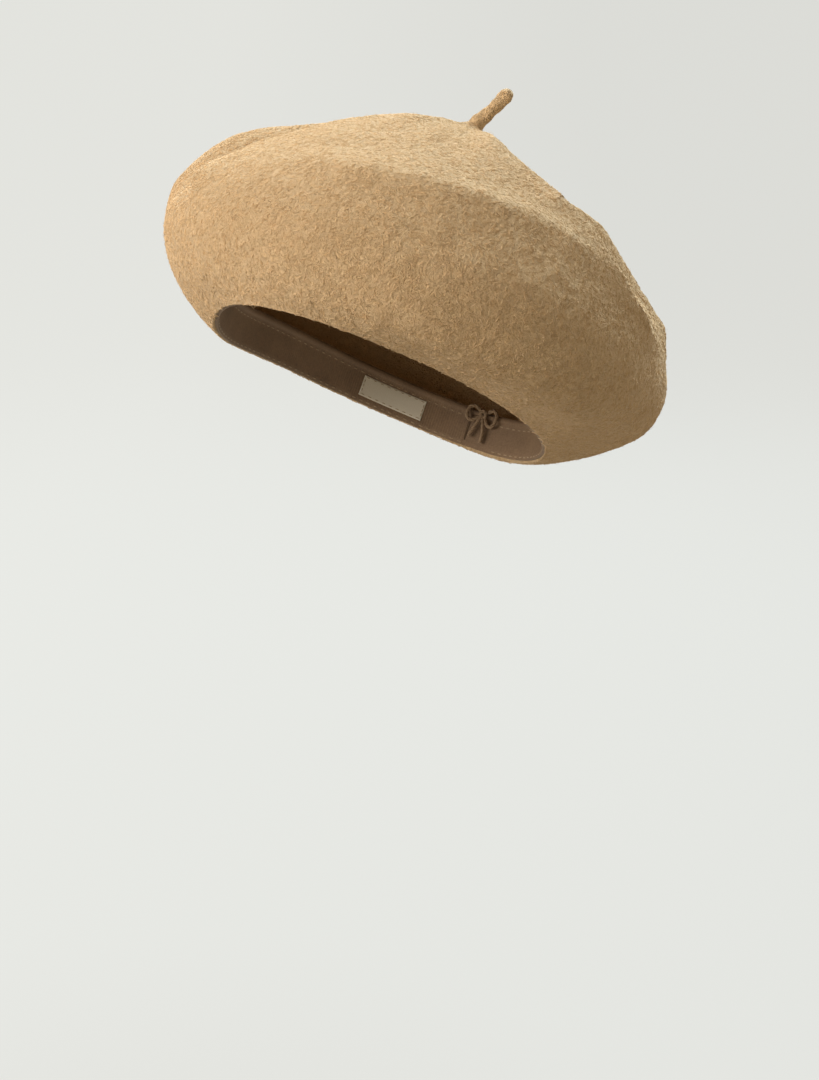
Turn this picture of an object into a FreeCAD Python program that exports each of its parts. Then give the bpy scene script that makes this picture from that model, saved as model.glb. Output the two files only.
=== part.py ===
import FreeCAD, Part
import os
from math import cos, sin, pi, radians, degrees, exp, hypot, atan2

# Wool felt beret with a short felt stem, shown as worn: pulled down towards the wearer's left and back.
# Millimetres. The origin is the centre of the head opening.
# +X is the wearer's left, +Y the wearer's back, +Z up.
# A bearing is an angle in degrees about +Z: 0 at the wearer's left, 90 at the back, 270 at the face.
# "Along" runs up a meridian of the felt, from 0 at the rim to 1 at the crown.

Vector = FreeCAD.Vector

# Head opening
opening_half_width = 80.0
opening_half_length = 102.0
rim_tilt_left = -0.15           # rise of the rim per mm towards the wearer's left
rim_tilt_back = -0.47           # rise of the rim per mm towards the wearer's back
rim_dips = [(210.0, 30.0, -8.0), (65.0, 45.0, -5.0)]    # bearing, spread in degrees, height

# Felt
felt_thickness = 3.0

# Widest line of the slouch
edge_radius = 132.0
edge_centre = Vector(4.7, 25.8, 47.0)
edge_tilt_left = -0.19
edge_tilt_back = -0.17
edge_along = 0.4                # place of the widest line on a meridian

# Crown, where the stem grows
crown_centre = Vector(20.7, 58.1, 131.5)
crown_lean_bearing = 30.0       # the side on which the crown falls away
crown_fall = 0.425
crown_hollow = 0.225
seat_radius = 3.0               # small flat at the crown

# How the felt leaves the rim, the widest line and the crown
rim_rise_mean = 22.0            # degrees above level
rim_rise_swing = 30.0
rim_rise_bearing = 50.0         # where the felt leaves the rim lowest
rim_rise_front_cut = 4.0
rim_lift = 26.0                 # the felt stands steeper over the face
rim_lift_bearing = 272.0
rim_lift_spread = 34.0
rim_pull = 25.0                 # lengths of the handles of the two curves of a meridian
rim_pull_front = 10.0
full_span = 60.0                # the handles shrink where the rim and the widest line are closer than this
belly_pull = 38.0
belly_pull_swing = 20.0
belly_bearing = 40.0
shoulder_pull = 44.0
crown_pull = 60.0
lean_side_cut = 12.0            # both are shorter on the side that hangs lowest
edge_lean = -6.0                # degrees
front_bearing = 210.0
front_spread = 50.0
front_pull_spread = 40.0
hang_bearing = 30.0
hang_spread = 60.0

# Folds: start bearing, start along, end bearing, end along, width, height along the normal
folds = [
    (38.0, 0.88, 42.0, 0.52, 11.0, -13.0),      # valley behind the near ridge
    (66.0, 0.66, 57.0, 0.42, 16.0, 7.0),        # ridge beyond the valley, back left
    (54.0, 0.40, 44.0, 0.32, 14.0, 6.0),        # the same ridge where it runs into the widest line
    (-8.0, 0.88, 14.0, 0.66, 18.0, -8.0),       # flattened top on the left side
    (-44.0, 0.86, 12.0, 0.54, 11.0, 5.0),       # shoulder between the top and the side wall
    (214.0, 0.74, 216.0, 0.60, 10.0, -6.0),     # dent at the front right
    (196.0, 0.62, 194.0, 0.54, 14.0, 13.0),     # puffed corner beyond the dent
    (250.0, 0.93, 225.0, 0.84, 14.0, 4.0),      # top of the front, just ahead of the stem
    (85.0, 0.20, 45.0, 0.25, 18.0, 4.0),        # sagging belly at the back left
    (12.0, 0.28, 36.0, 0.14, 14.0, -5.0),       # tucked in above the opening on the left
]
fold_along_scale = 100.0        # one unit of along counts as this many degrees of bearing
fold_fade = 0.12                # folds die out over this much of the meridian below the crown

# Creases: a line of bearing and along; height of the crest, its width to the right and to the left of the line,
# then the depth and reach of the valley on the left
creases = [
    ([(-112.0, 0.61), (-80.0, 0.635), (-60.0, 0.645), (-44.0, 0.642), (-31.0, 0.632), (-23.0, 0.605),
      (-13.0, 0.555), (-5.0, 0.48)],
     6.0, 14.0, 13.0, 0.0, 20.0),               # shoulder between the top and the side wall
    ([(-35.0, 0.88), (-30.0, 0.78), (-24.0, 0.71), (-16.0, 0.65), (-11.0, 0.58), (-6.0, 0.52), (2.0, 0.46),
      (14.0, 0.41)],
     5.5, 9.0, 5.0, 18.0, 20.0),               # near ridge, with the valley behind it
    ([(56.0, 0.83), (60.0, 0.71), (58.0, 0.60), (55.0, 0.51), (52.0, 0.44), (47.0, 0.36), (42.0, 0.30)],
     11.0, 9.0, 24.0, 0.0, 20.0),               # far ridge, steep towards the valley
    ([(243.0, 0.46), (238.0, 0.50), (231.0, 0.54), (223.0, 0.59), (215.0, 0.64), (209.0, 0.69), (205.0, 0.73),
      (200.0, 0.80)],
     4.0, 14.0, 6.0, 10.0, 14.0),                # edge of the front, before the puffed corner
]
meridian_length = 250.0         # a meridian laid flat, from the rim to the crown
crease_fade = 1.7               # creases die out towards both ends, faster when this is smaller
crease_rounding = 2.5
crease_limit = 28.0             # a crest dies out at about this distance from its line

# Sweatband: a tape folded over a cord, sewn to the cut edge of the felt
tape_ply = 0.7
band_foot = 1.0                 # height of its lower edge above the felt's edge
band_height = 24.0              # top of the tunnel above the felt's edge
band_gap = 16.0                 # open length at the centre back, where the cord is tied
gap_bearing = 90.0
cord_radius = 1.2
cord_clearance = 0.3

# Stitches
thread_radius = 0.3
stitch_length = 3.2
stitch_pitch = 5.0
seam_row_height = 2.4           # row that holds the tape to the felt
tunnel_row_drop = 1.4           # row below the tunnel

# Bow in the cord
knot_radius = 3.2
bow_loop_radius = 5.0
bow_loop_drop = 1.5
bow_tail_reach = 5.0
bow_tail_drop = 16.0

# Woven label on the tape
label_bearing = 127.0
label_length = 42.0
label_foot = 5.0
label_height = 12.0
label_thickness = 0.5
label_margin = 1.0              # from a stitch to the label's edge
label_stitches_long = 9
label_stitches_short = 3
label_stitch_share = 0.6        # length of a stitch as a share of its room

# Stem
stem_length = 26.0              # from the centre of its ball to its tip
stem_radius = 3.3
stem_tip_radius = 3.9
stem_ball_radius = 4.2
stem_gap = 0.3                  # between the ball and the felt
stem_lean = 47.0                # degrees from upright
stem_lean_bearing = 30.0

# Stitches that hold the stem, inside the crown
anchor_stitches = 6
anchor_inner_share = 0.2        # where they start, as a share of the seat's radius

# Fineness of the surfaces
felt_rows_low = 9
felt_rows_high = 16
felt_columns = 60
band_columns = 72
cord_sides = 10
step_bearing = 0.5
step_along = 0.004
join_tolerance = 0.01
press = 0.1                     # how deep threads and the label sink into what they lie on


def hump(bearing, centre, spread):
    off = (bearing - centre + 180.0) % 360.0 - 180.0
    return exp(-(off / spread) ** 2)


def level_direction(bearing):
    return Vector(cos(radians(bearing)), sin(radians(bearing)), 0.0)


def rim_point(bearing):
    x = opening_half_width * cos(radians(bearing))
    y = opening_half_length * sin(radians(bearing))
    z = rim_tilt_left * x + rim_tilt_back * y
    z += sum(height * hump(bearing, centre, spread) for centre, spread, height in rim_dips)
    return Vector(x, y, z)


def edge_point(bearing):
    across = level_direction(bearing) * edge_radius
    rise = edge_tilt_left * across.x + edge_tilt_back * across.y
    return edge_centre + across + Vector(0.0, 0.0, rise)


def cubic(a, b, c, d, t):
    s = 1.0 - t
    return a * s ** 3 + b * (3.0 * s * s * t) + c * (3.0 * s * t * t) + d * t ** 3


def low_curve(bearing, t):
    """From the rim out to the widest line."""
    out = level_direction(bearing)
    rise = rim_rise_mean - rim_rise_swing * cos(radians(bearing - rim_rise_bearing))
    rise -= rim_rise_front_cut * hump(bearing, front_bearing, front_spread)
    rise += rim_lift * hump(bearing, rim_lift_bearing, rim_lift_spread)
    leave = out * cos(radians(rise)) + Vector(0.0, 0.0, sin(radians(rise)))
    pull = rim_pull + rim_pull_front * hump(bearing, front_bearing, front_pull_spread)
    belly = belly_pull + belly_pull_swing * cos(radians(bearing - belly_bearing))
    rim, edge = rim_point(bearing), edge_point(bearing)
    share = min((edge - rim).Length / full_span, 1.0)
    return cubic(rim, rim + leave * pull * share, edge - edge_direction(bearing) * belly * share, edge, t)


def edge_direction(bearing):
    lean = radians(edge_lean * hump(bearing, belly_bearing, hang_spread))
    return level_direction(bearing) * sin(lean) + Vector(0.0, 0.0, cos(lean))


def high_curve(bearing, t):
    """From the widest line in to the crown."""
    cut = lean_side_cut * hump(bearing, hang_bearing, hang_spread)
    turn = cos(radians(bearing - crown_lean_bearing))
    leave = level_direction(bearing)
    leave.z = -crown_fall * turn - crown_hollow * turn * turn
    edge = edge_point(bearing)
    over = edge + edge_direction(bearing) * (shoulder_pull - cut)
    return cubic(edge, over, crown_centre + leave * (crown_pull - cut), crown_centre, t)


def smooth_surface(bearing, along):
    if along < edge_along:
        return low_curve(bearing, along / edge_along)
    return high_curve(bearing, (along - edge_along) / (1.0 - edge_along))


def normal_of(surface, bearing, along):
    low = max(along - step_along, 0.0)
    high = min(along + step_along, 1.0 - step_along)
    around = surface(bearing + step_bearing, along) - surface(bearing - step_bearing, along)
    upward = surface(bearing, high) - surface(bearing, low)
    return around.cross(upward).normalize()


def on_map(bearing, along):
    """The felt laid flat round its crown."""
    reach = meridian_length * (1.0 - along)
    return reach * cos(radians(bearing)), reach * sin(radians(bearing))


def nearest_on_line(line, x, y):
    """Distance to the line, positive on its left, and the place along it from 0 to 1."""
    corners = [on_map(bearing, along) for bearing, along in line]
    lengths = [hypot(b[0] - a[0], b[1] - a[1]) for a, b in zip(corners, corners[1:])]
    best = None
    for i, length in enumerate(lengths):
        ax, ay = corners[i]
        dx, dy = corners[i + 1][0] - ax, corners[i + 1][1] - ay
        share = min(max(((x - ax) * dx + (y - ay) * dy) / length ** 2, 0.0), 1.0)
        ox, oy = x - ax - share * dx, y - ay - share * dy
        distance = hypot(ox, oy)
        if best is None or distance < abs(best[0]):
            place = (sum(lengths[:i]) + share * length) / sum(lengths)
            best = (distance if dx * oy > dy * ox else -distance, place)
    return best


def crease_height(bearing, along):
    x, y = on_map(bearing, along)
    total = 0.0
    for line, crest, right, left, depth, reach in creases:
        distance, place = nearest_on_line(line, x, y)
        side_width = left if distance > 0.0 else right
        height = crest * exp((crease_rounding - hypot(distance, crease_rounding)) / side_width)
        height *= exp(-(distance / crease_limit) ** 2)
        if distance > 0.0:
            height -= depth * (1.0 - exp(-(distance / left) ** 2)) * exp(-(distance / reach) ** 2)
        total += height * min(crease_fade * sin(pi * place) ** 2, 1.0)
    return total


def fold_height(bearing, along):
    total = crease_height(bearing, along)
    for start, start_along, end, end_along, width, height in folds:
        x = (bearing - start + 180.0) % 360.0 - 180.0
        y = (along - start_along) * fold_along_scale
        dx = end - start
        dy = (end_along - start_along) * fold_along_scale
        share = min(max((x * dx + y * dy) / (dx * dx + dy * dy), 0.0), 1.0)
        total += height * exp(-(hypot(x - share * dx, y - share * dy) / width) ** 2)
    return total * min((1.0 - along) / fold_fade, 1.0)


def felt_outside(bearing, along):
    point = smooth_surface(bearing, along)
    return point + normal_of(smooth_surface, bearing, along) * fold_height(bearing, along)


def felt_inside(bearing, along):
    if along == 0.0:
        return section_point(bearing, 0.0, felt_thickness)
    return felt_outside(bearing, along) - normal_of(felt_outside, bearing, along) * felt_thickness


rim_normal = Vector(-rim_tilt_left, -rim_tilt_back, 1.0).normalize()


def rim_outward(bearing):
    flat = Vector(cos(radians(bearing)) / opening_half_width, sin(radians(bearing)) / opening_half_length, 0.0)
    return (flat - rim_normal * flat.dot(rim_normal)).normalize()


def section_point(bearing, out, height):
    """A point of the opening's cross-section: out from the felt's cut edge, and up square to the opening."""
    return rim_point(bearing) + rim_outward(bearing) * out + rim_normal * height


def rim_speed(bearing):
    """Millimetres of rim per degree of bearing."""
    return (rim_point(bearing + step_bearing) - rim_point(bearing - step_bearing)).Length / (2.0 * step_bearing)


def evenly(start, end, count):
    return [start + (end - start) * i / (count - 1) for i in range(count)]


def knots_of(count, degree, closed):
    if closed:
        return [1] * (count + 1), list(range(count + 1))
    spans = count - degree
    return [degree + 1] + [1] * (spans - 1) + [degree + 1], list(range(spans + 1))


def sheet(rows, closed):
    """A smooth face over rows of control points. The rows close on themselves when closed is true."""
    degree = min(3, len(rows) - 1)
    row_mults, row_knots = knots_of(len(rows), degree, False)
    mults, knots = knots_of(len(rows[0]), 3, closed)
    surface = Part.BSplineSurface()
    surface.buildFromPolesMultsKnots(rows, row_mults, mults, row_knots, knots, False, closed, degree, 3)
    return surface.toShape()


def outline_curve(row, closed):
    mults, knots = knots_of(len(row), 3, closed)
    curve = Part.BSplineCurve()
    curve.buildFromPolesMultsKnots(row, mults, knots, closed, 3)
    return Part.Wire([curve.toShape()])


def solid_of(faces):
    shell = Part.makeCompound(faces)
    shell.sewShape(join_tolerance)
    solid = Part.Solid(shell.Shells[0])
    if solid.Volume < 0.0:
        solid.reverse()
    return solid


def felt_rows(surface):
    bearings = [360.0 * i / felt_columns for i in range(felt_columns)]
    low = evenly(0.0, edge_along, felt_rows_low)[:-1]
    high = evenly(edge_along, 1.0, felt_rows_high)[:-1]
    return [[surface(bearing, along) for bearing in bearings] for along in low + high]


def seat_row(drop):
    bearings = [360.0 * i / felt_columns for i in range(felt_columns)]
    base = crown_centre - Vector(0.0, 0.0, drop)
    return [base + level_direction(bearing) * seat_radius for bearing in bearings]


def felt_body():
    outside = felt_rows(felt_outside) + [seat_row(0.0)]
    inside = felt_rows(felt_inside) + [seat_row(felt_thickness)]
    cut_edge = sheet([outside[0], inside[0]], True)
    seat = Part.Face(outline_curve(outside[-1], True))
    seat_inside = Part.Face(outline_curve(inside[-1], True))
    return solid_of([sheet(outside, True), sheet(inside, True), cut_edge, seat, seat_inside])


def circle_points(centre, radius, start, end, count):
    return [(centre[0] + radius * cos(radians(a)), centre[1] + radius * sin(radians(a)))
            for a in evenly(start, end, count)]


tunnel_wall_radius = cord_radius + cord_clearance + tape_ply
tunnel_height = band_height - tunnel_wall_radius
tunnel_centre = (-tape_ply, tunnel_height)
bow_stand = tape_ply + tunnel_wall_radius + cord_radius + cord_clearance    # the loops lie on the tunnel


def band_outline():
    """Cross-section of the tape: two plies sewn together below a round tunnel."""
    half_neck = degrees(atan2(tape_ply, tunnel_wall_radius))
    loop = circle_points(tunnel_centre, tunnel_wall_radius, half_neck - 90.0, 270.0 - half_neck, cord_sides)
    return [(0.0, band_foot)] + loop + [(-2.0 * tape_ply, band_foot)]


def tunnel_outline():
    return circle_points(tunnel_centre, cord_radius + cord_clearance, 0.0, 360.0, cord_sides + 1)[:-1]


def section_wire(outline, bearing):
    points = [section_point(bearing, out, height) for out, height in outline]
    return Part.makePolygon(points + points[:1])


def ring_strips(outline, bearings):
    rows = [[section_point(bearing, out, height) for bearing in bearings] for out, height in outline]
    return [sheet([rows[i - 1], rows[i]], False) for i in range(len(rows))]


def section_bar(outline, start, end, columns, hole=None):
    """A bar that follows the rim from one bearing to another, with an optional bore along it."""
    bearings = evenly(start, end, columns)
    faces = ring_strips(outline, bearings)
    if hole:
        faces += ring_strips(hole, bearings)
    for bearing in (start, end):
        cap = Part.Face(section_wire(outline, bearing))
        if hole:
            cap = cap.cut(Part.Face(section_wire(hole, bearing))).Faces[0]
        faces.append(cap)
    return solid_of(faces)


def gap_half_angle(length):
    return length / 2.0 / rim_speed(gap_bearing)


def sweatband():
    start = gap_bearing + gap_half_angle(band_gap)
    end = 2.0 * gap_bearing + 360.0 - start
    return section_bar(band_outline(), start, end, band_columns, tunnel_outline())


def drawcord():
    half = gap_half_angle(knot_radius)
    outline = circle_points(tunnel_centre, cord_radius, 0.0, 360.0, cord_sides + 1)[:-1]
    return section_bar(outline, gap_bearing + half, gap_bearing + 360.0 - half, band_columns)


def gap_point(across, out, height):
    return section_point(gap_bearing + across / rim_speed(gap_bearing), out, height)


def bow_loop(side):
    """One round loop of the bow, lying over the tape beside the gap."""
    centre = gap_point(side * bow_loop_radius, -bow_stand, tunnel_height - bow_loop_drop)
    return Part.makeTorus(bow_loop_radius, cord_radius, centre, -rim_outward(gap_bearing))


def bow_tail(side):
    knot = gap_point(0.0, -bow_stand, tunnel_height)
    end = gap_point(side * bow_tail_reach, -bow_stand, tunnel_height - bow_tail_drop)
    bar = Part.makeCylinder(cord_radius, (end - knot).Length, knot, end - knot)
    return bar.fuse(Part.makeSphere(cord_radius, end))


def drawcord_bow():
    knot = Part.makeSphere(knot_radius, gap_point(0.0, -tape_ply, tunnel_height))
    return knot.fuse([bow_loop(1.0), bow_loop(-1.0), bow_tail(1.0), bow_tail(-1.0)])


def thread(start, end):
    return Part.makeCylinder(thread_radius, (end - start).Length, start, end - start)


def stitch_row(height):
    """Running stitches on the head side of the tape."""
    half = gap_half_angle(band_gap)
    stitches = []
    bearing = gap_bearing + half
    last = gap_bearing + 360.0 - half - stitch_pitch / rim_speed(gap_bearing)
    out = -2.0 * tape_ply - thread_radius + press
    while bearing < last:
        margin = (stitch_pitch - stitch_length) / 2.0 / rim_speed(bearing)
        first = bearing + margin
        second = first + stitch_length / rim_speed(bearing)
        stitches.append(thread(section_point(first, out, height), section_point(second, out, height)))
        bearing += stitch_pitch / rim_speed(bearing)
    return Part.makeCompound(stitches)


def label_span():
    half = label_length / 2.0 / rim_speed(label_bearing)
    return label_bearing - half, label_bearing + half


def woven_label():
    start, end = label_span()
    near = -2.0 * tape_ply + press
    far = -2.0 * tape_ply - label_thickness
    top = label_foot + label_height
    outline = [(near, label_foot), (near, top), (far, top), (far, label_foot)]
    return section_bar(outline, start, end, label_stitches_long)


def label_thread(bearing, height, across, upward):
    out = -2.0 * tape_ply - label_thickness - thread_radius + press
    speed = rim_speed(bearing)
    turn, half_rise = across / 2.0 / speed, upward / 2.0
    start = section_point(bearing - turn, out, height - half_rise)
    return thread(start, section_point(bearing + turn, out, height + half_rise))


def label_stitches():
    start, end = label_span()
    inset = label_margin / rim_speed(label_bearing)
    length = label_length / label_stitches_long * label_stitch_share
    rise = label_height / label_stitches_short * label_stitch_share
    low = label_foot + label_margin
    high = label_foot + label_height - label_margin
    shift = length / 2.0 / rim_speed(label_bearing)
    threads = []
    for bearing in evenly(start + inset + shift, end - inset - shift, label_stitches_long):
        threads.append(label_thread(bearing, low, length, 0.0))
        threads.append(label_thread(bearing, high, length, 0.0))
    for height in evenly(low + rise, high - rise, label_stitches_short):
        threads.append(label_thread(start + inset, height, 0.0, rise))
        threads.append(label_thread(end - inset, height, 0.0, rise))
    return Part.makeCompound(threads)


stem_centre = crown_centre + Vector(0.0, 0.0, stem_gap + stem_ball_radius)


def stem():
    """A round bar with a ball at its root and a rounded, slightly thicker tip."""
    neck = (stem_ball_radius ** 2 - stem_radius ** 2) ** 0.5
    tip_start = stem_length - stem_tip_radius
    profile = [
        Part.Arc(Vector(0, 0, -stem_ball_radius), Vector(stem_ball_radius, 0, 0), Vector(stem_radius, 0, neck)),
        Part.LineSegment(Vector(stem_radius, 0, neck), Vector(stem_tip_radius, 0, tip_start)),
        Part.Arc(Vector(stem_tip_radius, 0, tip_start),
                 Vector(stem_tip_radius * cos(pi / 4), 0, tip_start + stem_tip_radius * sin(pi / 4)),
                 Vector(0, 0, stem_length)),
        Part.LineSegment(Vector(0, 0, stem_length), Vector(0, 0, -stem_ball_radius)),
    ]
    outline = Part.Face(Part.Wire([piece.toShape() for piece in profile]))
    bar = outline.revolve(Vector(0, 0, 0), Vector(0, 0, 1), 360.0)
    lean_axis = Vector(0, 0, 1).cross(level_direction(stem_lean_bearing))
    bar.rotate(Vector(0, 0, 0), lean_axis, stem_lean)
    bar.translate(stem_centre)
    return bar


def stem_stitches():
    """A star of hand stitches inside the crown, where the root of the stem is caught down."""
    base = crown_centre - Vector(0.0, 0.0, felt_thickness + thread_radius - press)
    threads = []
    for i in range(anchor_stitches):
        way = level_direction(360.0 / anchor_stitches * i)
        inner = base + way * (seat_radius * anchor_inner_share)
        outer = base + way * (seat_radius - thread_radius)
        threads.append(thread(inner, outer))
    return Part.makeCompound(threads)


parts = {
    "felt_body": felt_body,
    "sweatband": sweatband,
    "sweatband_seam": lambda: stitch_row(seam_row_height),
    "tunnel_seam": lambda: stitch_row(tunnel_height - tunnel_wall_radius - tunnel_row_drop),
    "drawcord": drawcord,
    "drawcord_bow": drawcord_bow,
    "woven_label": woven_label,
    "label_stitches": label_stitches,
    "stem": stem,
    "stem_stitches": stem_stitches,
}

os.makedirs("parts", exist_ok=True)
for name, make in parts.items():
    shape = make()
    shape.exportStep("parts/" + name + ".step")
    box = shape.BoundBox
    print(name, "solids", len(shape.Solids), "valid", shape.isValid(), "volume", round(shape.Volume, 1),
          "box", [round(v, 1) for v in (box.XMin, box.YMin, box.ZMin, box.XMax, box.YMax, box.ZMax)])
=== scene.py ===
import bpy
import math
import numpy as np
from mathutils import Matrix, Vector


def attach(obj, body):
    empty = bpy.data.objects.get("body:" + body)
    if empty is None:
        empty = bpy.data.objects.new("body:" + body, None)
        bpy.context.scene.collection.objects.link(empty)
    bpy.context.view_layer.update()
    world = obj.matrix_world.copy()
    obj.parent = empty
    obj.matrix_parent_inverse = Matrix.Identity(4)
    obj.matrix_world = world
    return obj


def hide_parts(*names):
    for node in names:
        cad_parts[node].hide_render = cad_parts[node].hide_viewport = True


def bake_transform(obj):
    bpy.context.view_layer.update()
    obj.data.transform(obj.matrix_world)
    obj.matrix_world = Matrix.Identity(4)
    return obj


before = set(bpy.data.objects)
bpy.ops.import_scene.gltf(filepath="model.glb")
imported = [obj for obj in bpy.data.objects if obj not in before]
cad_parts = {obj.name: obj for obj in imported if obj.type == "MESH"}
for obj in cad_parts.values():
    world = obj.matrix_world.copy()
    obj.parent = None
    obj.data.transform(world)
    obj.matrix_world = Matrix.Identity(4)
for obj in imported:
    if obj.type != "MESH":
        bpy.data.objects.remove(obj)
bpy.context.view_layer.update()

bpy.ops.object.select_all(action='DESELECT')
print("frame loaded,", len(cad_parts), "nodes")

# A wool felt beret as worn: +X is the wearer's left, +Y the back, the face looks along -Y.
# Bearings are degrees about +Z from the wearer's left, and "along" runs from 0 at the rim to 1 at the crown.

opening = {
    "halfWidth": 0.080,
    "halfLength": 0.102,
    "tiltLeft": -0.15,
    "tiltBack": -0.47,
    "dips": [(210, 30, -0.008), (65, 45, -0.005)],      # bearing, spread, height
}

# the hat's shape: rim, widest line, crown and the curves between them
felt = {
    "thickness": 0.003,
    "edgeRadius": 0.132,
    "edgeCentre": (0.0047, 0.0258, 0.047),
    "edgeTilt": (-0.19, -0.17),
    "edgeAlong": 0.4,
    "crown": (0.0207, 0.0581, 0.1315),
    "crownFall": 0.425,
    "crownHollow": 0.225,
    "crownBearing": 30,
    "rimRise": (22, 30, 50, 4),         # mean, swing, bearing of the lowest, cut at the front
    "rimLift": (272, 34, 26),           # bearing, spread, degrees
    "rimPull": (0.025, 0.010),
    "fullSpan": 0.060,                  # both pulls shrink below this distance from rim to edge
    "bellyPull": (0.038, 0.020, 40),    # mean, swing, bearing of the fullest
    "shoulderPull": 0.044,
    "crownPull": 0.060,
    "leanCut": 0.012,
    "edgeLean": -6,
    "frontBearing": 210,
    "frontSpreads": (50, 40),           # of the rise and of the pull
    "hangBearing": 30,
    "hangSpread": 60,
    "meridian": 0.25,                   # length of felt from rim to crown
    "steps": (0.5, 0.004),              # bearing and along, for finding a normal
    "rounding": (0.0025, 0.007),        # of a crisp fold, outside and inside
    "creaseLimit": 0.028,               # how far a crisp fold is felt
    "creaseFade": 1.7,
    "foldScale": 100,                   # degrees of bearing to one whole meridian
    "foldFade": 0.12,                   # folds die out this near the crown
    "columns": 480,
    "rowsLow": 46,
    "rowsHigh": 104,
    "rowsInside": 44,
    "rowsLowInside": 16,
    "rowsEdge": 5,
    "edgeRound": (0.0018, 0.0085),      # height on the inside, place along the outside
    "insideStart": 0.012,
    # unevenness of the wool: height, scale, seed
    "relief": [(0.00022, 330, 3), (0.00030, 120, 5), (0.0006, 38, 8)],
    "reliefInside": [(0.0003, 110, 11)],
    "reliefFade": (2, 8),               # rows from the rim
    "tentHeight": 0.0042,               # the felt drawn up round the root of the stem
    "tentWidth": 0.0065,
    "tentPower": 1.6,
    # start bearing, start along, end bearing, end along, width, height
    "folds": [
        (38, 0.88, 42, 0.52, 11, -0.013),
        (66, 0.66, 57, 0.42, 16, 0.007),
        (54, 0.40, 44, 0.32, 14, 0.006),
        (-8, 0.88, 14, 0.66, 18, -0.008),
        (-44, 0.86, 12, 0.54, 11, 0.005),
        (214, 0.74, 216, 0.60, 10, -0.006),
        (196, 0.62, 194, 0.54, 14, 0.013),
        (250, 0.93, 225, 0.84, 14, 0.004),
        (85, 0.20, 45, 0.25, 18, 0.004),
        (12, 0.28, 36, 0.14, 14, -0.005),
    ],
    # crisp folds: line of bearing and along; crest, its width on the right and on the left of the line,
    # then the depth and reach of the valley on the left
    "creases": [
        ([(-112, 0.61), (-80, 0.635), (-60, 0.645), (-44, 0.642),
          (-31, 0.632), (-23, 0.605), (-13, 0.555), (-5, 0.48)],
         0.0060, 0.014, 0.013, 0.0, 0.020),
        ([(-35, 0.88), (-30, 0.78), (-24, 0.71), (-16, 0.65),
          (-11, 0.58), (-6, 0.52), (2, 0.46), (14, 0.41)],
         0.0055, 0.009, 0.005, 0.018, 0.020),
        ([(56, 0.83), (60, 0.71), (58, 0.60), (55, 0.51),
          (52, 0.44), (47, 0.36), (42, 0.30)],
         0.0110, 0.009, 0.024, 0.0, 0.020),
        ([(243, 0.46), (238, 0.50), (231, 0.54), (223, 0.59),
          (215, 0.64), (209, 0.69), (205, 0.73), (200, 0.80)],
         0.0040, 0.014, 0.006, 0.010, 0.014),
    ],
}

band = {
    "ply": 0.0007,
    "foot": 0.0010,
    "height": 0.024,
    "gap": 0.016,               # left open at the centre back, where the cord is tied
    "gapBearing": 90,
    "cordRadius": 0.0012,
    "cordClearance": 0.0003,
}

upward = np.array([0, 0, 1])


def wrapped(bearing, centre):
    return (bearing - centre + 180) % 360 - 180


def hump(bearing, centre, spread):
    return np.exp(-(wrapped(bearing, centre) / spread) ** 2)


def unit(v):
    return v / np.maximum(np.linalg.norm(v, axis=-1, keepdims=True), 1e-12)


def level(bearing, rise=0.0):
    a = np.radians(bearing)
    return np.stack([np.cos(a), np.sin(a), np.zeros_like(a) + rise], -1)


def rimPoint(bearing):
    a = np.radians(bearing)
    x = opening["halfWidth"] * np.cos(a)
    y = opening["halfLength"] * np.sin(a)
    z = opening["tiltLeft"] * x + opening["tiltBack"] * y
    for centre, spread, height in opening["dips"]:
        z = z + height * hump(bearing, centre, spread)
    return np.stack([x, y, z], -1)


def edgePoint(bearing):
    across = level(bearing) * felt["edgeRadius"]
    across[..., 2] = felt["edgeTilt"][0] * across[..., 0] + felt["edgeTilt"][1] * across[..., 1]
    return np.array(felt["edgeCentre"]) + across


def edgeWay(bearing):
    lean = np.radians(felt["edgeLean"] * hump(bearing, felt["bellyPull"][2], felt["hangSpread"]))[..., None]
    return level(bearing) * np.sin(lean) + upward * np.cos(lean)


def cubic(a, b, c, d, t):
    t = t[..., None]
    s = 1 - t
    return a * s ** 3 + b * 3 * s * s * t + c * 3 * s * t * t + d * t ** 3


def lowCurve(bearing, t):
    mean, swing, lowest, frontCut = felt["rimRise"]
    riseSpread, pullSpread = felt["frontSpreads"]
    rise = mean - swing * np.cos(np.radians(bearing - lowest))
    rise = rise - frontCut * hump(bearing, felt["frontBearing"], riseSpread)
    rise = rise + felt["rimLift"][2] * hump(bearing, *felt["rimLift"][:2])
    rise = np.radians(rise)[..., None]
    leave = level(bearing) * np.cos(rise) + upward * np.sin(rise)
    pull = felt["rimPull"][0] + felt["rimPull"][1] * hump(bearing, felt["frontBearing"], pullSpread)
    size, swing, lowest = felt["bellyPull"]
    belly = size + swing * np.cos(np.radians(bearing - lowest))
    rim, edge = rimPoint(bearing), edgePoint(bearing)
    share = np.minimum(np.linalg.norm(edge - rim, axis=-1) / felt["fullSpan"], 1)
    pull, belly = (pull * share)[..., None], (belly * share)[..., None]
    return cubic(rim, rim + leave * pull, edge - edgeWay(bearing) * belly, edge, t)


def highCurve(bearing, t):
    cut = felt["leanCut"] * hump(bearing, felt["hangBearing"], felt["hangSpread"])
    turn = np.cos(np.radians(bearing - felt["crownBearing"]))
    leave = level(bearing, -felt["crownFall"] * turn - felt["crownHollow"] * turn * turn)
    edge = edgePoint(bearing)
    over = edge + edgeWay(bearing) * (felt["shoulderPull"] - cut)[..., None]
    crown = np.array(felt["crown"])
    return cubic(edge, over, crown + leave * (felt["crownPull"] - cut)[..., None], crown + 0 * edge, t)


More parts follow.
